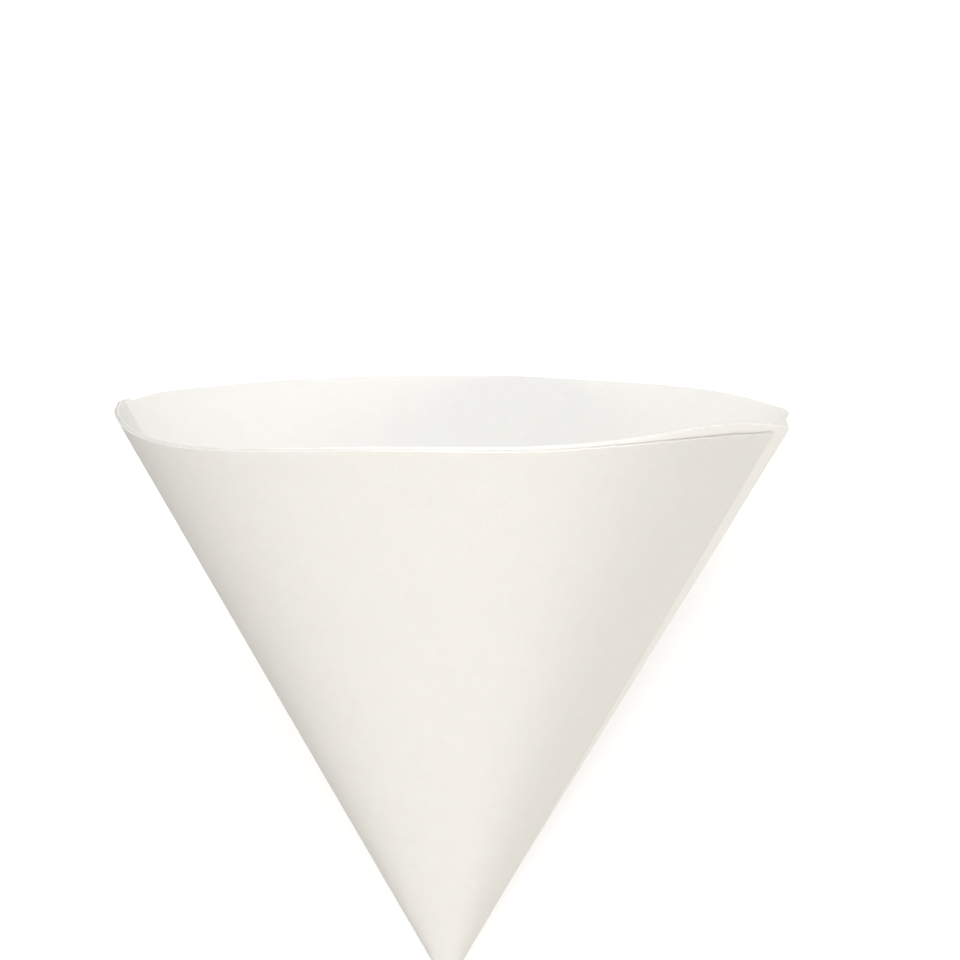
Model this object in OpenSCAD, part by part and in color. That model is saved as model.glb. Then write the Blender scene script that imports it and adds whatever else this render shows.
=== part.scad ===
// Paper coffee filter, opened for use.
// A flat round sheet is folded in half and in half again, then opened into a cone.
// One side of the cone is a single ply and the other is three plies, nested in each other.
// It lies on its single-ply back wall: the tip is at the -Y end, the mouth looks towards +Y,
// and the three-ply front wall is on top. The origin is on the ground below the middle.

/* [Sheet] */
// Diameter of the flat round sheet
sheet_d = 304.8; // [220:0.4:340]
// Thickness of the paper
paper_t = 0.3; // [0.2:0.02:0.44]

/* [Opening] */
// Angle at the tip between the two creases: 90 is folded flat, 60 is fully round
crease_angle = 60.7; // [60.6:0.1:76]
// Angle by which both creases swing from the middle plane towards the front wall
crease_swing = 2; // [-3:0.1:5]
// How far the back wall is pressed flat where it lies on the ground
rest_press = 0.75; // [0.4:0.05:1.2]

/* [Front wall] */
// Angle by which the front wall bulges near one crease and draws in near the other
front_lean = -0.85; // [-2:0.05:2]
// Angle by which the front wall's two shoulders stand out beside its middle
front_shoulders = -0.55; // [-1.5:0.05:1.5]
// Angle of the short waves along the front wall
front_ripple = -0.6; // [-0.8:0.05:0.8]

/* [Folds] */
// Distance at the rim from the right crease to the edge of the outer fold
outer_setback = 7.7; // [2:0.1:12]
// Distance at the rim from the left crease to the edge of the inner fold
inner_setback = 2.6; // [1.6:0.1:8]
// Inner radius of the two creases
crease_r = 0.15; // [0.1:0.01:0.3]
// Gap between two plies of the front wall at the rim
ply_gap_rim = 0.5; // [0.2:0.05:1]
// Gap between two plies of the front wall where they leave the tip
ply_gap_tip = 0.12; // [0.1:0.01:0.3]
// Length of the tip over which all plies are pressed together
tip_l = 5; // [4:0.5:12]

/* [Rim] */
// How much lower the two outer plies end at the outer fold, because the folds miss the centre
rim_step = 1.7; // [0:0.1:3]
// How far the corner of the inner fold stands above the rim
ear_rise = 0.6; // [0:0.1:1.5]
// Half width of that corner
ear_w = 3; // [2:0.1:6]

/* [Hidden] */
paper_colour = [0.96, 0.95, 0.92];

// Facets along one wall, along either bend of the back wall, round one fold and round one crease
wall_steps = 40;
bend_steps = 12;
fold_steps = 6;
crease_steps = 3;
// Share of the back wall, on either side of its middle, that has finer facets to lie on
rest_share = 0.09;
// Distances from the tip at which the section is drawn, as shares of the sheet's radius
row_shares = [0.05, 0.08, 0.12, 0.19, 0.3, 0.46, 0.66, 0.84, 0.95, 1];
// The first row above the tip's closed end is at least this many times as far from the tip
least_row_ratio = 1.2;

// Each wall keeps a quarter of the sheet
quarter_angle = 90;
FRONT = -1;
BACK = 1;
sheet_r = sheet_d / 2;
half_open = crease_angle / 2;
// Share of the front wall, from the right crease, over which the outer plies end lower
step_share = 0.33;
// How fast a difference in height at the rim dies away towards the tip
rise_power = 4;
// Clearance between the inner fold and the outer ply that turns round it
fold_play = 0.8;
// The pitch of a wall's middle is searched between these two angles, by halving
least_pitch = 1;
most_pitch = 55;
search_steps = 40;
// Each wave of the front wall: its angle, and its count of half waves from crease to crease
front_waves = [[front_lean, 2], [front_shoulders, 3], [front_ripple, 5]];

function unit(v) = v / norm(v);
function total(values) = values * [for (v = values) 1];
function spread(from, to, steps) = [for (i = [0:steps]) from + (to - from) * i / steps];
function blend(x) = let (c = max(0, min(1, x))) c * c * (3 - 2 * c);

// Directions are unit vectors from the tip. The cone's axis is +Z, the creases lie
// towards +X and -X, the back wall is towards +Y and the front wall towards -Y.
crease_dir = [
    cos(crease_swing) * sin(half_open),
    -sin(crease_swing) * sin(half_open),
    cos(half_open)
];

// The direction of a wall's middle, and the way from there into the cone
function middle_dir(face, pitch) = [0, face * sin(pitch), cos(pitch)];
function middle_inward(face, pitch) = [0, -face * cos(pitch), sin(pitch)];

// Each half of a wall is a round bend. It leaves the middle straight across and meets the crease.
// [opening angle of the bend, axis of the bend, angle turned round that axis]
function bend(face, pitch) =
    let (
        start = middle_dir(face, pitch),
        inward = middle_inward(face, pitch),
        opening = atan2(1 - start * crease_dir, inward * crease_dir),
        axis = cos(opening) * start + sin(opening) * inward,
        foot = cos(opening) * axis,
        turned = atan2(crease_dir[0], (crease_dir - foot) * (start - foot) / sin(opening))
    )
    [opening, axis, turned < 0 ? turned + 360 : turned];

// Angle of paper from the wall's middle to its crease
function half_wall(face, pitch) = let (b = bend(face, pitch)) b[2] * sin(b[0]);

// The pitch of the wall's middle at which the half wall is half a quarter of the sheet
function settled(face, low = least_pitch, high = most_pitch, steps = search_steps) =
    let (middle = (low + high) / 2)
    steps == 0 ? middle
    : half_wall(face, middle) > quarter_angle / 2 ? settled(face, low, middle, steps - 1)
    : settled(face, middle, high, steps - 1);

function wall(face) = let (pitch = settled(face), b = bend(face, pitch)) [face, pitch, b[0], b[1]];

front = wall(FRONT);
back = wall(BACK);
back_pitch = back[1];

// Direction, way along and outward normal of a wall at share t from its right crease
function wall_frame(w, t) =
    let (
        face = w[0],
        opening = w[2],
        axis = w[3],
        a = (0.5 - t) * quarter_angle / sin(opening),
        foot = cos(opening) * axis,
        start = middle_dir(face, w[1]),
        dir = foot + cos(a) * (start - foot) + sin(a) * sin(opening) * [1, 0, 0],
        out = (cos(opening) * dir - axis) / sin(opening)
    )
    [dir, unit(cross(out, dir)) * -face, out];

// The front wall's waves: the angle by which they lift it, and how steep they are
function wave(t) = total([for (w = front_waves) w[0] * sin(w[1] * 180 * t)]);
function wave_slope(t) =
    total([for (w = front_waves) w[0] * w[1] * cos(w[1] * 180 * t)]) * PI / quarter_angle;

function back_frame(t) = wall_frame(back, t);
function front_frame(t) =
    let (
        f = wall_frame(front, t),
        lift = wave(t),
        raised = cos(lift) * f[0] + sin(lift) * f[2],
        steep = cos(lift) * f[2] - sin(lift) * f[0],
        slope = wave_slope(t)
    )
    [raised, unit(f[1] + slope * steep), unit(steep - slope * f[1])];

// A point of the sheet: s from the tip along its direction, u along the wall, v outwards
function place(f, s, u, v) = s * f[0] + u * f[1] + v * f[2];

// Both faces of the paper at one place of a ply. The face that lines the pocket comes first.
function ply(f, s, lining_v, other_v) = [place(f, s, 0, lining_v), place(f, s, 0, other_v)];

// Both faces of the paper round a fold, about a centre that stands at height v
function fold(f, s, v, inner_r, outer_r, toward, a) = [
    place(f, s, toward * inner_r * cos(a), v + inner_r * sin(a)),
    place(f, s, toward * outer_r * cos(a), v + outer_r * sin(a))
];

// Both faces of the paper round a crease, from the frame of one wall to that of the next
function crease(from, to, s) =
    let (
        bisector = unit(from[2] + to[2]),
        turn = acos(from[2] * to[2]),
        centre = s * from[0] - bisector * crease_r / (bisector * from[2])
    )
    [for (k = [0:crease_steps])
        let (
            share = k / crease_steps,
            n = (sin((1 - share) * turn) * from[2] + sin(share * turn) * to[2]) / sin(turn)
        )
        [centre + crease_r * n, centre + (crease_r + paper_t) * n]
    ];

// How far from a crease its walls begin, so that the rounding fits between them
function crease_reach(from, to) = crease_r * (1 + tan(acos(from[2] * to[2]) / 2));
right_reach = crease_reach(back_frame(0), front_frame(0));
left_reach = crease_reach(front_frame(1), back_frame(1));

// Places along the back wall from its left end to its right end
function back_places(left, right) = concat(
    spread(left, 0.5 + rest_share, bend_steps),
    [for (i = [1:wall_steps - 2 * bend_steps - 1])
        0.5 + rest_share * (1 - 2 * i / (wall_steps - 2 * bend_steps))
    ],
    spread(0.5 - rest_share, right, bend_steps)
);

// Distance from the tip of a point that stands proud of the level s by the height rise
function stretched(s, rise) = s + rise * pow(s / sheet_r, rise_power);
function step_at(t) = rim_step * (1 - blend(t / step_share));
function ear_at(away) = ear_rise * exp(-pow(away / ear_w, 2));

// Height of the pocket's lining on the front wall. The innermost ply turns round the right
// crease and the outermost ply round the left one, so the plies sink inwards from right to left.
function lining_at(t, pitch_v) = -2 * pitch_v * t;

// The folded sheet at the distance s from the tip, as pairs of points on its two faces.
// It runs from the right crease along the innermost ply, round the inner fold, back along
// the middle ply, round the outer fold, along the outermost ply to the left crease, and
// home along the back wall.
function section(s) =
    let (
        quarter = s * quarter_angle * PI / 180,
        gap = ply_gap_tip + (ply_gap_rim - ply_gap_tip) * s / sheet_r,
        tight_r = gap / 2,
        wide_r = gap / 2 + paper_t,
        inner_centre = (inner_setback * s / sheet_r + fold_play + wide_r) / quarter,
        outer_centre = (outer_setback * s / sheet_r + wide_r) / quarter,
        start_t = right_reach / quarter,
        end_t = left_reach / quarter,
        pitch_v = paper_t + gap,
        inner_f = front_frame(1 - inner_centre),
        outer_f = front_frame(outer_centre),
        inner_v = lining_at(1 - inner_centre, pitch_v) + paper_t + gap / 2,
        outer_v = lining_at(outer_centre, pitch_v) + pitch_v + paper_t + gap / 2
    )
    concat(
        [for (t = spread(start_t, 1 - inner_centre, wall_steps))
            let (away = (1 - inner_centre - t) * quarter, v = lining_at(t, pitch_v))
            ply(front_frame(t), stretched(s, ear_at(away)), v, v + paper_t)
        ],
        [for (i = [1:fold_steps - 1])
            let (p = fold(inner_f, stretched(s, ear_rise), inner_v, tight_r, wide_r,
                1, -90 + 180 * i / fold_steps))
            [p[1], p[0]]
        ],
        [for (t = spread(1 - inner_centre, outer_centre, wall_steps))
            let (away = (1 - inner_centre - t) * quarter, v = lining_at(t, pitch_v) + pitch_v)
            ply(front_frame(t), stretched(s, ear_at(away) - step_at(t)), v + paper_t, v)
        ],
        [for (i = [1:fold_steps - 1])
            fold(outer_f, stretched(s, -rim_step), outer_v, tight_r, wide_r,
                -1, -90 + 180 * i / fold_steps)
        ],
        [for (t = spread(outer_centre, 1 - end_t, wall_steps))
            let (v = lining_at(t, pitch_v) + 2 * pitch_v)
            ply(front_frame(t), stretched(s, -step_at(t)), v, v + paper_t)
        ],
        crease(front_frame(1), back_frame(1), s),
        [for (t = back_places(1 - end_t, start_t)) ply(back_frame(t), s, 0, paper_t)],
        crease(back_frame(0), front_frame(0), s)
    );

// The cone is laid on the middle of its back wall, and sinks until the ground presses that flat
function laid(p) = [
    p[0],
    p[1] * sin(back_pitch) + p[2] * cos(back_pitch),
    p[2] * sin(back_pitch) - p[1] * cos(back_pitch) + paper_t - rest_press
];
function pressed(pair) =
    let (
        lining = laid(pair[0]),
        other = laid(pair[1]),
        lift = [0, 0, max(0, -min(lining[2], other[2]))]
    )
    [lining + lift, other + lift];

rows = [
    tip_l,
    for (share = row_shares) if (share * sheet_r > tip_l * least_row_ratio) share * sheet_r
];
sections = [for (s = rows) [for (pair = section(s)) pressed(pair)]];
around = len(sections[0]);
row_count = len(rows);
laid_tip = laid([0, 0, 0]);
tip_point = [laid_tip[0], laid_tip[1], max(0, laid_tip[2])];

// The middle of the part's box becomes the origin
inner_points = [for (ring = sections, pair = ring) pair[0]];
outer_points = [for (ring = sections, pair = ring) pair[1]];
loose_points = concat(inner_points, outer_points, [tip_point]);
function span_middle(values) = (min(values) + max(values)) / 2;
middle = [
    span_middle([for (p = loose_points) p[0]]),
    span_middle([for (p = loose_points) p[1]]),
    0
];
points = [for (p = loose_points) p - middle];

// Numbers of the points: the inner face's rows come first, then the outer face's, then the tip
function inner(row, i) = row * around + (i + around) % around;
function outer(row, i) = inner(row, i) + row_count * around;
tip_index = 2 * row_count * around;

// The floor of the pocket and of the slit inside the outer fold is closed by a zip of
// triangles that starts in the middle of the right crease
zip_from = around - (crease_steps + 1) / 2;
faces = concat(
    [for (r = [0:row_count - 2], i = [0:around - 1])
        each [
            [inner(r, i), inner(r + 1, i + 1), inner(r, i + 1)],
            [inner(r, i), inner(r + 1, i), inner(r + 1, i + 1)],
            [outer(r, i), outer(r, i + 1), outer(r + 1, i + 1)],
            [outer(r, i), outer(r + 1, i + 1), outer(r + 1, i)]
        ]
    ],
    [for (i = [0:around - 1])
        each [
            [inner(row_count - 1, i), outer(row_count - 1, i + 1), inner(row_count - 1, i + 1)],
            [inner(row_count - 1, i), outer(row_count - 1, i), outer(row_count - 1, i + 1)]
        ]
    ],
    [for (i = [0:around - 1]) [tip_index, outer(0, i + 1), outer(0, i)]],
    [for (k = [0:around / 2 - 2])
        each [
            [inner(0, zip_from + k), inner(0, zip_from + 1 + k), inner(0, zip_from - 2 - k)],
            [inner(0, zip_from + k), inner(0, zip_from - 2 - k), inner(0, zip_from - 1 - k)]
        ]
    ]
);

module filter() {
    color(paper_colour)
        polyhedron(points = points, faces = faces, convexity = 8);
}

filter();
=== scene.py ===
# %% [markdown]
# # A paper coffee filter
# The real object is one round sheet of thick white filter paper. It is folded in half and in half
# again, and then one ply is pulled away from the other three. The quarter circle opens into a cone
# with a plain back wall and a front wall of three nested plies. Nothing holds a paper cone upright,
# so it lies on its back wall here, with its mouth open towards +Y.

import bisect
import math

import bmesh
import bpy
from mathutils import Matrix, Vector


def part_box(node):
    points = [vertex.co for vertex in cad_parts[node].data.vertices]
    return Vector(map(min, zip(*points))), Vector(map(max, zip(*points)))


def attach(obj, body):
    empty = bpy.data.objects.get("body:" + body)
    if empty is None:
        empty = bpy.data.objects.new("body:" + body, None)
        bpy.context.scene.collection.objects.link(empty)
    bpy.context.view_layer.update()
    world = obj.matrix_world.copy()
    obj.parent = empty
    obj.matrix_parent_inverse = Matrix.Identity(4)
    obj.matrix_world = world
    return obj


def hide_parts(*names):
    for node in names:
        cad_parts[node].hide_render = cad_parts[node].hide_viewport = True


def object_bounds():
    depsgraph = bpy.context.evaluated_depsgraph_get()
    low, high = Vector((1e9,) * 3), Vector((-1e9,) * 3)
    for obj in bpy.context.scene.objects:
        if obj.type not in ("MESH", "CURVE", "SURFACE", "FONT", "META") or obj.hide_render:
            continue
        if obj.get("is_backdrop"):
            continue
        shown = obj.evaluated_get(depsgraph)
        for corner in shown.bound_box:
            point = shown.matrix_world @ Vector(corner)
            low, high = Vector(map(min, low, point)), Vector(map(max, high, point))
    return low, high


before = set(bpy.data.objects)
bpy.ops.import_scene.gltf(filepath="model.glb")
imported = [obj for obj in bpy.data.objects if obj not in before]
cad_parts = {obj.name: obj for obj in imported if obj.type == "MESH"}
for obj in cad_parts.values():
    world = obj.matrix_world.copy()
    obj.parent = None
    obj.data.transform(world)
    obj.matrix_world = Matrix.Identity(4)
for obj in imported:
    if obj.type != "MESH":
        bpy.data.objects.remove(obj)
cad_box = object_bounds()
cad_low, cad_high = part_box("filter")
MM = 0.001
print("box of the packed filter, mm:", [round(x / MM, 1) for x in cad_high - cad_low])

# %% [markdown]
# ## The camera
# The picture is taken with a long lens, so that the cone hardly narrows with distance. The cone lies
# on its back, so the camera that saw it upright now looks down on it: it is turned about the cone's
# foot together with the paper. Only three numbers aim it (a point, an azimuth and an elevation), and
# a roll about its own axis puts the tip at the bottom of the picture.

# %% Camera
aim_point = Vector((7.75, 24.04, 60.0)) * MM
aim_distance = 954.7 * MM
aim_azimuth = math.radians(31.596)
aim_elevation = math.radians(64.328)
aim_roll = math.radians(-26.88)
SENSOR_MM = 36.0
LENS_MM = 158.66

toward_camera = Vector((
    math.sin(aim_azimuth) * math.cos(aim_elevation),
    -math.cos(aim_azimuth) * math.cos(aim_elevation),
    math.sin(aim_elevation),
))
bpy.ops.object.camera_add(location=aim_point + toward_camera * aim_distance)
camera = bpy.context.object
camera.name = "camera"
level = toward_camera.to_track_quat("Z", "Y")
camera.rotation_euler = (level.to_matrix() @ Matrix.Rotation(aim_roll, 3, "Z")).to_euler()
camera.data.sensor_width = SENSOR_MM
camera.data.lens = LENS_MM
bpy.context.scene.camera = camera
print("camera at, mm:", [round(x / MM, 1) for x in camera.location])

# %% [markdown]
# ## Sizes of the sheet
# These are the sizes that the folded sheet follows: how large and thick it is, how far the cone is
# opened, and how loosely its plies lie. The paper can't stretch, so all the rest follows from them.

# %% Sizes
sheet_r = 152.4 * MM
paper_t = 0.3 * MM
QUARTER = math.pi / 2

crease_angle = math.radians(60.7)
crease_swing = math.radians(2.0)
rest_press = 0.75 * MM

outer_setback = 7.7 * MM
inner_setback = 2.6 * MM
fold_play = 0.35 * MM
crease_r = 0.15 * MM
ply_gap_rim = 0.06 * MM
ply_gap_tip = 0.1 * MM
tip_l = 5.0 * MM
print("flat sheet, mm: %.1f across and %.1f thick" % (2 * sheet_r / MM, paper_t / MM))

# %% [markdown]
# ## A wall is a bent quarter of the sheet
# Paper bends but doesn't stretch, so a wall that is made of straight lines through the tip keeps each
# point at its own distance from the tip. Only the directions of those lines have to be found. Each
# half wall is one round bend: it leaves the wall's middle straight across and meets the crease. A
# steeper middle uses up less paper, so the right pitch is found by halving, until the half wall takes
# exactly half a quarter of the sheet.

# %% Bend of a wall
crease_dir = Vector((
    math.cos(crease_swing) * math.sin(crease_angle / 2),
    -math.sin(crease_swing) * math.sin(crease_angle / 2),
    math.cos(crease_angle / 2),
))
LOWEST_PITCH = math.radians(1)
HIGHEST_PITCH = math.radians(55)
HALVINGS = 40


def bend(face, pitch):
    """Opening angle, axis, foot and start of the bend of one half wall, and its length in radians."""
    start = Vector((0, face * math.sin(pitch), math.cos(pitch)))
    inward = Vector((0, -face * math.cos(pitch), math.sin(pitch)))
    opening = math.atan2(1 - start.dot(crease_dir), inward.dot(crease_dir))
    axis = math.cos(opening) * start + math.sin(opening) * inward
    foot = math.cos(opening) * axis
    along = (crease_dir - foot).dot(start - foot) / math.sin(opening)
    turned = math.atan2(crease_dir.x, along) % (2 * math.pi)
    return opening, axis, foot, start, turned * math.sin(opening)


def settled_wall(face):
    """The bend whose half wall is exactly half a quarter of the sheet."""
    low, high = LOWEST_PITCH, HIGHEST_PITCH
    for _ in range(HALVINGS):
        middle = (low + high) / 2
        if bend(face, middle)[-1] > QUARTER / 2:
            high = middle
        else:
            low = middle
    return face, middle, *bend(face, middle)[:-1]


front = settled_wall(-1)
back = settled_wall(1)
back_pitch = back[1]
pitches = [math.degrees(wall[1]) for wall in (front, back)]
print("pitch of the walls, degrees: front %.2f, back %.2f" % tuple(pitches))

# %% [markdown]
# ## The frame of a wall at any place
# A place on a wall is the share t of the quarter, from the right crease at 0 to the left one at 1.
# There, three arrows say all that is needed: the line from the tip, the way along the wall and the
# way out of it. The front wall also carries a few long waves, as paper does that was folded by hand.
# Each wave is given by how many of its halves fit along the wall, and by how far it lifts the paper.
# The back wall is a little flatter towards its right end, where the crease stands out by a hair and
# the paper beside it is dented. Each dent is given by its depth, its middle and its half width.

# %% Frames of the walls
front_waves = ((2, math.radians(-0.85)), (3, math.radians(-0.55)), (5, math.radians(-0.6)))
crease_out = {"right": math.radians(0.3), "left": 0.0}
CREASE_OUT_FRONT_W = 0.05
CREASE_OUT_BACK_W = 0.013
back_dents = (
    (math.radians(-1.1), 0.24, 0.12),
    (math.radians(-0.33), 0.035, 0.02),
    (math.radians(-0.12), 0.07, 0.025),
)
NEAR = 1e-4


def bump_at(x, middle, half_width):
    """A soft bump of height 1 round the middle."""
    return math.exp(-((x - middle) / half_width) ** 2)


def front_lift(t):
    """How far the waves lift the front wall at the share t, as an angle seen from the tip."""
    waves = sum(w * math.sin(n * math.pi * t) for n, w in front_waves)
    return waves + crease_out["right"] * bump_at(t, 0, CREASE_OUT_FRONT_W)


def back_lift(t):
    """How far the dents lift the back wall at the share t, as an angle seen from the tip."""
    dents = sum(depth * bump_at(t, middle, w) for depth, middle, w in back_dents)
    return dents + crease_out["right"] * bump_at(t, 0, CREASE_OUT_BACK_W)


def wall_frame(wall, lift_at, t):
    """Line from the tip, way along and way out of a wall at the share t, with the wall's waves."""
    face, pitch, opening, axis, foot, start = wall
    a = (0.5 - t) * QUARTER / math.sin(opening)
    line = foot + math.cos(a) * (start - foot) + Vector((math.sin(a) * math.sin(opening), 0, 0))
    out = (math.cos(opening) * line - axis) / math.sin(opening)
    along = out.cross(line).normalized() * -face
    lift = lift_at(t)
    slope = (lift_at(t + NEAR) - lift_at(t - NEAR)) / (2 * NEAR * QUARTER)
    raised = math.cos(lift) * line + math.sin(lift) * out
    steep = math.cos(lift) * out - math.sin(lift) * line
    return raised, (along + slope * steep).normalized(), (steep - slope * along).normalized()


def front_frame(t):
    return wall_frame(front, front_lift, t)


def back_frame(t):
    return wall_frame(back, back_lift, t)


rim_lifts = [lift_at(0.25) * sheet_r / MM for lift_at in (front_lift, back_lift)]
print("lift of the rim near the right end, mm: front %.2f, back %.2f" % tuple(rim_lifts))

# %% [markdown]
# ## The stations round the sheet
# Walking once round the rim of the sheet passes four plies and the four places where it turns:
# innermost ply, inner fold, middle ply, outer fold, outermost ply, left crease, back wall, right
# crease. A fold is less than a millimetre long and has to look round, so it gets many stations, and
# the plies' own stations stand closer together towards their ends.

# %% Stations
PLY_STEPS = 104
FOLD_STEPS = 10
CREASE_STEPS = 6
CROWDING = 0.75


def stretch_of(name, steps, crowding=0.0):
    """The stations of one stretch: its name, and the share along it at the middle of each step."""
    shares = [(i + 0.5) / steps for i in range(steps)]
    return [(name, u - crowding * math.sin(2 * math.pi * u) / (2 * math.pi)) for u in shares]


stations = (
    stretch_of("innermost", PLY_STEPS, CROWDING)
    + stretch_of("inner_fold", FOLD_STEPS)
    + stretch_of("middle", PLY_STEPS, CROWDING)
    + stretch_of("outer_fold", FOLD_STEPS)
    + stretch_of("outermost", PLY_STEPS, CROWDING)
    + stretch_of("left_crease", CREASE_STEPS)
    + stretch_of("back", PLY_STEPS, CROWDING)
    + stretch_of("right_crease", CREASE_STEPS)
)
print("stations round the sheet:", len(stations))

# %% [markdown]
# ## Where a point of the sheet goes
# Each ply runs on the surface of its wall, at its own height above it. The innermost ply turns round
# the right crease and the outermost one round the left crease, so the plies sink inwards from right
# to left by twice their pitch. A fold is a half circle between two plies, and a crease is a small
# arc between two walls.

# %% Places on plies, folds and creases
corner_out = {
    "right": (back_frame(0)[2], front_frame(0)[2]),
    "left": (front_frame(1)[2], back_frame(1)[2]),
}


def crease_reach(side):
    """How far from the crease the flat of its walls begins, so that the rounding fits between."""
    a, b = corner_out[side]
    return crease_r * (1 + math.tan(a.angle(b) / 2))


def crease_point(side, s, share):
    """The middle of the paper on the rounding of a crease."""
    a, b = corner_out[side]
    line = crease_dir if side == "right" else Vector((-crease_dir.x, crease_dir.y, crease_dir.z))
    bisector = (a + b).normalized()
    line = (line + bisector * math.tan(crease_out[side]) / bisector.dot(a)).normalized()
    turn = a.angle(b)
    out = (math.sin((1 - share) * turn) * a + math.sin(share * turn) * b) / math.sin(turn)
    return s * line - bisector * crease_r / bisector.dot(a) + (crease_r + paper_t / 2) * out


for side, (a, b) in corner_out.items():
    print(side, "crease turns by %.1f degrees" % math.degrees(a.angle(b)))

# %% [markdown]
# ## The cut rim
# The rim of the real sheet isn't one clean circle once it is folded: the folds miss the centre by a
# little. So the two outer plies end lower near the outer fold, the inner ply stands a little higher,
# the left corner stands up as a small round ear, and the back wall's rim rises and dips by less than
# a millimetre. Each rise is given by its height, its middle and its half width. Such a difference
# dies away quickly towards the tip.

# %% Heights along the rim
outer_step = 2.1 * MM
STEP_FROM = 0.115
STEP_SHARE = 0.19
outer_rises = ((0.8 * MM, 0.03, 0.025),)
inner_rises = ((0.8 * MM, 0.3, 0.22),)
ear_rise = 0.8 * MM
EAR_FLAT = 3.0 * MM
ear_slope_w = {"front": 12.0 * MM, "back": 2.6 * MM}
right_corner_rise = -0.4 * MM
RIGHT_CORNER_W = 4.0 * MM
back_rises = (
    (0.8 * MM, 0.085, 0.035),
    (-0.55 * MM, 0.25, 0.11),
    (0.5 * MM, 0.92, 0.05),
)
RISE_POWER = 4


def smooth_step(x):
    """Goes softly from 0 to 1 as x does."""
    x = min(1, max(0, x))
    return x * x * (3 - 2 * x)


def corner_rise(t, wall):
    """How far the two corners of the cone stand above the even circle."""
    from_left = (1 - t) * sheet_r * QUARTER
    from_right = t * sheet_r * QUARTER
    ear = ear_rise * (1 - smooth_step((from_left - EAR_FLAT) / ear_slope_w[wall]))
    return ear + right_corner_rise * bump_at(from_right, 0, RIGHT_CORNER_W)


def bumps(rises, t):
    """The sum of some rises at the share t."""
    return sum(height * bump_at(t, middle, w) for height, middle, w in rises)


def rim_rise(name, t):
    """How far the rim of a ply, fold or crease stands above the even circle at the share t."""
    if name == "back":
        return corner_rise(t, "back") + bumps(back_rises, t)
    if name in ("innermost", "right_crease"):
        return corner_rise(t, "front") + bumps(inner_rises, t)
    if name in ("inner_fold", "left_crease"):
        return corner_rise(t, "front")
    step = outer_step * (1 - smooth_step((t - STEP_FROM) / STEP_SHARE))
    return corner_rise(t, "front") + bumps(outer_rises, t) - step


def stretched(s, rise):
    """Distance from the tip with the rim's rise, which dies away towards the tip."""
    return s + rise * (s / sheet_r) ** RISE_POWER


print("rim of the outer plies at the outer fold, mm: %.2f" % (rim_rise("outer_fold", 0.03) / MM))

# %% [markdown]
# ## Folding one point
# With all that, the place of any point of the sheet follows from its distance to the tip and its
# station.

# %% Place of a point
def folded(s, station):
    """The place of a point of the sheet, s from the tip, in the cone's own frame."""
    name, share = station
    quarter = s * QUARTER
    gap = ply_gap_tip + (ply_gap_rim - ply_gap_tip) * s / sheet_r
    pitch_v = paper_t + gap
    wide_r = gap / 2 + paper_t
    inner_t = 1 - (inner_setback * s / sheet_r + fold_play + wide_r) / quarter
    outer_t = (outer_setback * s / sheet_r + wide_r) / quarter
    start_t = crease_reach("right") / quarter
    end_t = 1 - crease_reach("left") / quarter
    level = {"innermost": 0, "middle": 1, "outermost": 2}

    def ply_height(t, ply):
        """Height of a ply's middle above its wall: all plies sink inwards from right to left."""
        return (ply - 2 * t) * pitch_v + paper_t / 2

    if name in ("left_crease", "right_crease"):
        side = name.split("_")[0]
        return crease_point(side, stretched(s, rim_rise(name, 1 if side == "left" else 0)), share)
    if name == "back":
        t = end_t + (start_t - end_t) * share
        line, _, out = back_frame(t)
        return stretched(s, rim_rise(name, t)) * line + out * paper_t / 2
    if name in ("inner_fold", "outer_fold"):
        inner = name == "inner_fold"
        t = inner_t if inner else outer_t
        line, along, out = front_frame(t)
        centre = ply_height(t, 0 if inner else 1) + pitch_v / 2
        a = math.pi * (share - 0.5)
        reach = (1 if inner else -1) * math.cos(a) * pitch_v / 2
        up = centre + math.sin(a) * pitch_v / 2
        return stretched(s, rim_rise(name, t)) * line + reach * along + up * out
    ends = {
        "innermost": (start_t, inner_t),
        "middle": (inner_t, outer_t),
        "outermost": (outer_t, end_t),
    }
    first, last = ends[name]
    t = first + (last - first) * share
    line, _, out = front_frame(t)
    return stretched(s, rim_rise(name, t)) * line + ply_height(t, level[name]) * out


back_rim_middle = folded(sheet_r, ("back", 0.5))
print("middle of the back wall's rim, mm:", [round(x / MM, 1) for x in back_rim_middle])

# %% [markdown]
# ## Laying the cone down
# The cone is laid on the middle of its back wall and sinks a little, until the ground has pressed a
# long strip of it flat. The change from the round wall to the flat strip is gradual, so no line shows.
# Last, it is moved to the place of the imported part.

# %% Laying it down
PRESS_BLEND = 0.15 * MM


def laid(p):
    """A point of the upright cone, once the cone lies on its pressed back wall."""
    y = p.y * math.sin(back_pitch) + p.z * math.cos(back_pitch)
    z = p.z * math.sin(back_pitch) - p.y * math.cos(back_pitch)
    above = z - rest_press + paper_t / 2
    settled = 0.5 * (above + math.sqrt(above ** 2 + PRESS_BLEND ** 2))
    return Vector((p.x, y, settled + paper_t / 2))


print("the same point lying down, mm:", [round(x / MM, 1) for x in laid(back_rim_middle)])

# %% [markdown]
# ## The flat sheet
# The sheet starts as it does in the factory: as a flat disc. A small circle is filled with a fan of
# triangles, and its rim is then extruded outwards ring by ring. The rings lie closer near the tip,
# where the cone is small.

# %% Flat sheet
FIRST_RING = 0.6 * MM
TIP_GROWTH = 1.28
RING_STEP = 2.9 * MM


def ring_radii():
    """Distances of the rings from the tip: they grow by a factor, and then evenly up to the rim."""
    radii = [FIRST_RING]
    while radii[-1] * (TIP_GROWTH - 1) < RING_STEP:
        radii.append(radii[-1] * TIP_GROWTH)
    count = math.ceil((sheet_r - radii[-1]) / RING_STEP)
    first = radii[-1]
    return radii + [first + (sheet_r - first) * (i + 1) / count for i in range(count)]


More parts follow.
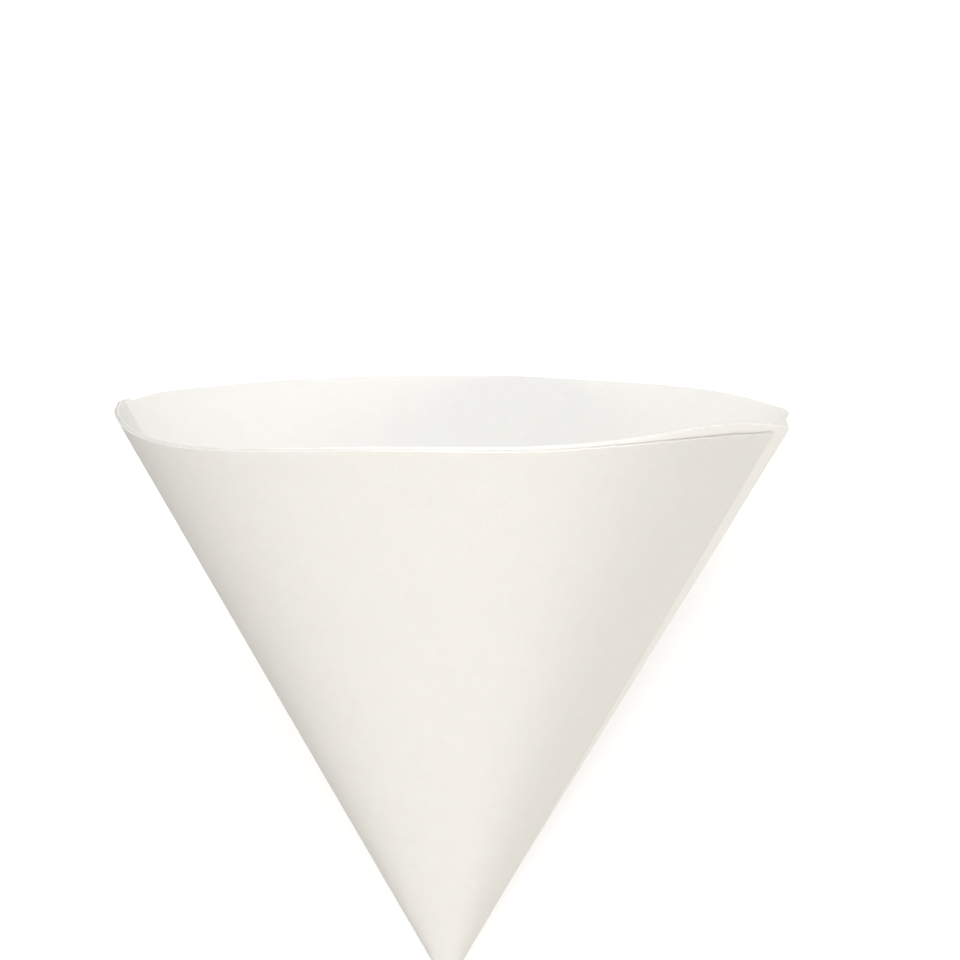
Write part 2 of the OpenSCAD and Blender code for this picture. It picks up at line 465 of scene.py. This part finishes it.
rings = ring_radii()
bpy.ops.object.select_all(action="DESELECT")
bpy.ops.mesh.primitive_circle_add(
    vertices=len(stations), radius=rings[0], fill_type="TRIFAN", enter_editmode=True
)
paper = bpy.context.object
paper.name = "filter_sheet"
bpy.ops.mesh.select_mode(type="EDGE")
bpy.ops.mesh.select_all(action="DESELECT")
mesh = bmesh.from_edit_mesh(paper.data)
for edge in mesh.edges:
    if edge.is_boundary:
        edge.select_set(True)
bmesh.update_edit_mesh(paper.data)
for near, far in zip(rings, rings[1:]):
    bpy.ops.mesh.extrude_region_move()
    bpy.ops.transform.resize(value=(far / near, far / near, 1), center_override=(0, 0, 0))
bpy.ops.mesh.select_mode(type="VERT")
bpy.ops.object.mode_set(mode="OBJECT")
print("flat sheet: %d rings, %d faces" % (len(rings), len(paper.data.polygons)))

# %% [markdown]
# ## Folding
# Every point of the flat disc knows its ring and its station, and moves to its folded place. Inside
# the last few millimetres the plies have no room for their full pitch, so there the folded form is
# one section that shrinks to the tip.

# %% Fold the sheet
def place_in_cone(s, station):
    """The folded place of a point of the sheet. Nearer the tip than tip_l, the section only shrinks."""
    s_drawn = max(s, tip_l)
    return folded(s_drawn, station) * (s / s_drawn)


def on_sheet(flat):
    """Ring and station of a point of the flat disc."""
    turn = math.atan2(flat.y, flat.x) % (2 * math.pi)
    station = round(turn / (2 * math.pi) * len(stations)) % len(stations)
    ring = bisect.bisect_left(rings, flat.length - FIRST_RING / 10)
    return ring, station


to_packed_place = Vector((0, cad_low.y, 0))
vertex_at = {}
for vertex in paper.data.vertices:
    if vertex.co.length < FIRST_RING / 2:
        tip_vertex = vertex.index
        vertex.co = laid(Vector()) + to_packed_place
        continue
    ring, station = on_sheet(vertex.co)
    vertex_at[ring, station] = vertex.index
    vertex.co = laid(place_in_cone(rings[ring], stations[station])) + to_packed_place
paper.data.update()
print("folded points:", len(vertex_at) + 1, "of", len(paper.data.vertices))

# %% [markdown]
# ## The sheet's own map
# The fibres of the paper lie in the sheet and follow its folds, so the finish needs to know where on
# the flat sheet each point was. The folded rings are measured once round and unrolled again, and the
# result is kept as a UV map. Two more notes go with each point: how near it is to a fold, and whether
# other plies lie behind it. Both darken the paper's colour as painted shade: a little along the folds
# and creases, and more on plies with others behind them, standing in for the light a single ply lets
# through.

# %% Unroll the rings
# Half width of the band along folds and creases whose colour gets painted shade.
PAINTED_FOLD_SHADE_W = 0.9 * MM
points = [v.co.copy() for v in paper.data.vertices]
turning = [k for k, (name, _) in enumerate(stations) if name.endswith(("fold", "crease"))]
unrolled = {tip_vertex: Vector((0, 0))}
pressed_at = {tip_vertex: 1.0}
for ring, s in enumerate(rings):
    loop = [points[vertex_at[ring, k]] for k in range(len(stations))]
    walked = [0.0]
    for here, there in zip(loop, loop[1:] + loop[:1]):
        walked.append(walked[-1] + (there - here).length)
    whole = walked[-1]
    for k in range(len(stations)):
        turn = 2 * math.pi * walked[k] / whole
        unrolled[vertex_at[ring, k]] = Vector((math.cos(turn), math.sin(turn))) * s
        apart = [abs(walked[k] - walked[f]) for f in turning]
        off = min(min(a, whole - a) for a in apart)
        pressed_at[vertex_at[ring, k]] = bump_at(off, 0, PAINTED_FOLD_SHADE_W)
print("paper round the rim, share of the flat sheet's: %.3f" % (whole / (2 * math.pi * sheet_r)))

# %% Write the map
MAP_CENTRE = Vector((0.5, 0.5))
sheet_map = paper.data.uv_layers.new(name="sheet")
for corner in paper.data.loops:
    flat = unrolled[corner.vertex_index] / (2 * sheet_r)
    sheet_map.data[corner.index].uv = flat + MAP_CENTRE
print("corners on the map:", len(sheet_map.data))

# %% Write the notes
thinned = paper.vertex_groups.new(name="thickness")
for vertex in paper.data.vertices:
    thinned.add([vertex.index], min(1.0, unrolled[vertex.index].length / tip_l), "REPLACE")
# Plies with other plies behind them: their colour gets painted shade, in place of the light that
# doesn't come through several plies.
painted_ply_shade_names = ("middle", "outer_fold", "outermost")
painted_ply_shade_at = {index: float(stations[k][0] in painted_ply_shade_names) for (_, k), index in vertex_at.items()}
painted_ply_shade_at[tip_vertex] = 1.0
for note in ("pressed", "painted_ply_shade"):
    paper.data.attributes.new(note, "FLOAT", "POINT")
for vertex in paper.data.vertices:
    paper.data.attributes["painted_ply_shade"].data[vertex.index].value = painted_ply_shade_at[vertex.index]
    paper.data.attributes["pressed"].data[vertex.index].value = pressed_at[vertex.index]
print("points with plies behind them: %d" % sum(painted_ply_shade_at.values()))

# %% [markdown]
# ## Thickness
# Paper this thick shows its cut edge as a fine line, so the sheet gets a real thickness from a
# Solidify modifier, half to each side. The vertex group thins it where all the plies meet at the tip.
# The rim's own faces take the second material, the cut edge.

# %% Thickness and smooth faces
thickness = paper.modifiers.new("Thickness", "SOLIDIFY")
thickness.thickness = paper_t
thickness.offset = 0
thickness.use_even_offset = True
thickness.use_rim = True
thickness.vertex_group = thinned.name
thickness.material_offset_rim = 1
paper.data.materials.append(bpy.data.materials.new("filter_paper"))
paper.data.materials.append(bpy.data.materials.new("cut_edge"))
bpy.ops.object.modifier_apply(modifier=thickness.name)
SMOOTH_BELOW = math.radians(50)
bpy.ops.object.shade_smooth_by_angle(angle=SMOOTH_BELOW)
print("paper: %d faces, edge faces %d" % (
    len(paper.data.polygons), sum(p.material_index == 1 for p in paper.data.polygons)))

# %% [markdown]
# ## What paper fibres do to light
# Filter paper is a felt of white fibres. Held against light it is cloudy, and close up it shows short
# threads that lie in all directions. Both materials need this, so it is one node group: it takes a
# place on the sheet in millimetres and puts out the cloudiness and a small height for the threads.

# %% Helpers for nodes
def new_socket(group, name, kind, way, value=None):
    """Adds an input or output to a node group."""
    socket = group.interface.new_socket(name=name, in_out=way, socket_type=kind)
    if value is not None:
        socket.default_value = value
    return socket


def math_node(tree, operation, a, b):
    """A Math node whose two inputs are sockets or numbers."""
    node = tree.nodes.new("ShaderNodeMath")
    node.operation = operation
    for socket, value in zip(node.inputs, (a, b)):
        if isinstance(value, (int, float)):
            socket.default_value = value
        else:
            tree.links.new(value, socket)
    return node.outputs[0]


def noise(tree, place, scale, detail, turn=0.0, squeeze=(1, 1, 1)):
    """Noise on a place in millimetres, turned and squeezed into threads where that is asked."""
    mapping = tree.nodes.new("ShaderNodeMapping")
    mapping.inputs["Rotation"].default_value = (0, 0, turn)
    mapping.inputs["Scale"].default_value = squeeze
    texture = tree.nodes.new("ShaderNodeTexNoise")
    texture.inputs["Scale"].default_value = scale
    texture.inputs["Detail"].default_value = detail
    tree.links.new(place, mapping.inputs["Vector"])
    tree.links.new(mapping.outputs["Vector"], texture.inputs["Vector"])
    return texture.outputs["Fac"]


# %% Node group for fibres
fibres = bpy.data.node_groups.new("Paper fibres", "ShaderNodeTree")
new_socket(fibres, "Place in mm", "NodeSocketVector", "INPUT")
new_socket(fibres, "Cloudiness", "NodeSocketFloat", "INPUT", 1.0)
new_socket(fibres, "Threads", "NodeSocketFloat", "INPUT", 1.0)
new_socket(fibres, "Shade", "NodeSocketFloat", "OUTPUT")
new_socket(fibres, "Height", "NodeSocketFloat", "OUTPUT")
given = fibres.nodes.new("NodeGroupInput")
result = fibres.nodes.new("NodeGroupOutput")
place = given.outputs["Place in mm"]

# %% Clouds in the paper
BIG_CLOUD_SCALE = 0.16
SMALL_CLOUD_SCALE = 0.7
CLOUDS_MIDDLE = 1.0
big_clouds = noise(fibres, place, BIG_CLOUD_SCALE, detail=3)
small_clouds = noise(fibres, place, SMALL_CLOUD_SCALE, detail=2)
clouds = math_node(fibres, "ADD", big_clouds, small_clouds)
clouds = math_node(fibres, "SUBTRACT", clouds, CLOUDS_MIDDLE)
clouds = math_node(fibres, "MULTIPLY", clouds, given.outputs["Cloudiness"])
print("nodes up to the clouds:", len(fibres.nodes))

# %% Threads of the felt
THREAD_SCALE = 1.6
THREAD_DETAIL = 1
THREAD_SQUEEZE = (0.22, 1.5, 1)
THREAD_TURNS = (0.35, 1.35, 2.4)
FELT_MIDDLE = 1.1
THREAD_SHADE = 0.35
threads = [
    noise(fibres, place, THREAD_SCALE, THREAD_DETAIL, turn, THREAD_SQUEEZE)
    for turn in THREAD_TURNS
]
felt = math_node(fibres, "MAXIMUM", threads[0], threads[1])
felt = math_node(fibres, "ADD", felt, threads[2])
felt = math_node(fibres, "SUBTRACT", felt, FELT_MIDDLE)
felt = math_node(fibres, "MULTIPLY", felt, given.outputs["Threads"])
felt_shade = math_node(fibres, "MULTIPLY", felt, THREAD_SHADE)
fibres.links.new(math_node(fibres, "ADD", clouds, felt_shade), result.inputs["Shade"])
fibres.links.new(felt, result.inputs["Height"])
print("fibre group sockets:", [i.name for i in fibres.interface.items_tree])

# %% [markdown]
# ## The paper and its cut edge
# The paper is a matt, slightly warm white that lets some light through, so it scatters light to a
# depth of about twice its own thickness, and blue a little less deep than red. Its cloudiness moves
# the colour by about a percent, and the threads are a shallow bump. Along the folds and creases the
# colour is painted a little greyer, and where plies lie on each other it is painted darker: both are
# painted shade, the second in place of the light that comes through a single ply. At the cut rim the
# loose ends of the fibres are rougher, and the edge is painted a little darker, as painted shade for
# the fine grey line along the rim.

# %% Fill a paper material
SHEET_MM = 2 * sheet_r / MM
LIGHT_DEPTH = 0.6 * MM
PALEST = 0.8
CLOUDS = 0.5
MATT_SPECULAR = 0.25
DEPTH_BY_COLOUR = (1.0, 0.95, 0.88)
# Painted shade: the colour is darkened a little along the folds and creases, and more on plies with
# others behind them.
painted_shades = (("pressed", 0.12), ("painted_ply_shade", 0.42))


def paper_material(material, light, dark, cloudiness, threads, bump_mm, roughness):
    """Fills a material with fibres on the sheet's own map, between a lighter and a darker white."""
    material.use_nodes = True
    tree = material.node_tree
    shader = tree.nodes["Principled BSDF"]
    shader.inputs["Roughness"].default_value = roughness
    shader.inputs["Specular IOR Level"].default_value = MATT_SPECULAR
    shader.inputs["Subsurface Weight"].default_value = 1.0
    shader.inputs["Subsurface Radius"].default_value = DEPTH_BY_COLOUR
    shader.inputs["Subsurface Scale"].default_value = LIGHT_DEPTH
    where = tree.nodes.new("ShaderNodeUVMap")
    where.uv_map = "sheet"
    in_mm = tree.nodes.new("ShaderNodeVectorMath")
    in_mm.operation = "SCALE"
    in_mm.inputs["Scale"].default_value = SHEET_MM
    felt = tree.nodes.new("ShaderNodeGroup")
    felt.node_tree = fibres
    felt.inputs["Cloudiness"].default_value = cloudiness
    felt.inputs["Threads"].default_value = threads
    tree.links.new(where.outputs["UV"], in_mm.inputs[0])
    tree.links.new(in_mm.outputs["Vector"], felt.inputs["Place in mm"])
    shade = math_node(tree, "MULTIPLY", felt.outputs["Shade"], CLOUDS)
    shade = math_node(tree, "ADD", shade, PALEST)
    for note, greying in painted_shades:
        mark = tree.nodes.new("ShaderNodeAttribute")
        mark.attribute_name = note
        grey = math_node(tree, "MULTIPLY", mark.outputs["Fac"], greying)
        shade = math_node(tree, "SUBTRACT", shade, grey)
    colour = tree.nodes.new("ShaderNodeMix")
    colour.data_type = "RGBA"
    colour.inputs["A"].default_value = (*dark, 1)
    colour.inputs["B"].default_value = (*light, 1)
    tree.links.new(shade, colour.inputs["Factor"])
    tree.links.new(colour.outputs["Result"], shader.inputs["Base Color"])
    bump = tree.nodes.new("ShaderNodeBump")
    bump.inputs["Distance"].default_value = bump_mm * MM
    tree.links.new(felt.outputs["Height"], bump.inputs["Height"])
    tree.links.new(bump.outputs["Normal"], shader.inputs["Normal"])


# %% Paper and cut edge
paper_material(
    paper.data.materials[0], light=(0.95, 0.938, 0.91), dark=(0.83, 0.81, 0.768),
    cloudiness=0.5, threads=0.6, bump_mm=0.05, roughness=0.9,
)
# The cut edge is painted a little darker than the face: painted shade for the fine grey line along the
# rim. Its rougher finish and stronger threads are the fibres' own.
paper_material(
    paper.data.materials[1], light=(0.92, 0.905, 0.875), dark=(0.84, 0.82, 0.785),
    cloudiness=0.4, threads=1.2, bump_mm=0.05, roughness=0.95,
)
print("materials:", [material.name for material in paper.data.materials])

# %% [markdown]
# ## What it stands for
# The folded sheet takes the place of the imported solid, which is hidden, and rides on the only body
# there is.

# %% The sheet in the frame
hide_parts("filter")
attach(paper, "root")

# %% [markdown]
# ## Floor
# The floor is a plain matt pale tone. Its own colour lights the paper from below, as a table does.
# The camera and a reflection see it lifted to white, without more light on the paper, and the shadow
# stays.

# %% Floor
FLOOR_HALF = 3.0
FLOOR_COLOUR = (0.6, 0.59, 0.56, 1)
FLOOR_LIFT = 0.56
LIFT_COLOUR = (0.94, 0.955, 1.0, 1)
bpy.ops.object.select_all(action="DESELECT")
bpy.ops.mesh.primitive_plane_add(size=2 * FLOOR_HALF, location=(0, 0, 0))
floor = bpy.context.object
floor.name = "floor"
floor_material = bpy.data.materials.new("floor")
floor_material.use_nodes = True
tree = floor_material.node_tree
shader = tree.nodes["Principled BSDF"]
shader.inputs["Base Color"].default_value = FLOOR_COLOUR
shader.inputs["Roughness"].default_value = 1.0
shader.inputs["Specular IOR Level"].default_value = 0.0
shader.inputs["Emission Color"].default_value = LIFT_COLOUR
path = tree.nodes.new("ShaderNodeLightPath")
seen = math_node(tree, "MAXIMUM", path.outputs["Is Camera Ray"], path.outputs["Is Glossy Ray"])
lifted = math_node(tree, "MULTIPLY", seen, FLOOR_LIFT)
tree.links.new(lifted, shader.inputs["Emission Strength"])
floor.data.materials.append(floor_material)
floor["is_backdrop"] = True
print("floor, metres across: %.1f" % (2 * FLOOR_HALF))

# %% [markdown]
# ## Light
# Plain soft studio light. A large disk in front of the paper lights the front wall. Another one above
# the mouth lights the inside and the cut rims, so that the single plies glow a little and the fold
# shows against them. Two weaker ones light the right end and shine into the mouth from behind, and a
# faint even world fills the rest.

# %% Lamps and world
WORLD_LEVEL = 0.15
LAMP_SIZE = 1.4
WARM_WHITE = (1.0, 0.965, 0.91)
SOFT_WHITE = (1.0, 0.99, 0.975)
lamps = (
    ("front_lamp", (0.15, -1.0, 1.1), 16.8, WARM_WHITE),
    ("top_lamp", (0.1, 0.55, 1.5), 16.0, SOFT_WHITE),
    ("right_lamp", (1.1, -0.3, 0.9), 3.3, WARM_WHITE),
    ("mouth_lamp", (-0.04, 1.2, 0.85), 6.5, SOFT_WHITE),
)
world = bpy.data.worlds.new("studio")
bpy.context.scene.world = world
world.use_nodes = True
background = world.node_tree.nodes["Background"]
background.inputs["Color"].default_value = (1, 1, 1, 1)
background.inputs["Strength"].default_value = WORLD_LEVEL
for name, place, power, colour in lamps:
    bpy.ops.object.light_add(type="AREA", location=place)
    lamp = bpy.context.object
    lamp.name = name
    lamp.data.shape = "DISK"
    lamp.data.size = LAMP_SIZE
    lamp.data.energy = power
    lamp.data.color = colour
    lamp.rotation_euler = (Vector(place) - aim_point).to_track_quat("Z", "Y").to_euler()
bpy.context.scene.view_settings.view_transform = "Standard"
print("lamps:", [name for name, *_ in lamps])

# %% Sizes of both models
seen_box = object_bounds()
for name, (low, high) in (("packed", cad_box), ("dressed", seen_box)):
    print(name, "box, mm:", [round(x / MM, 2) for x in (*low, *high)])
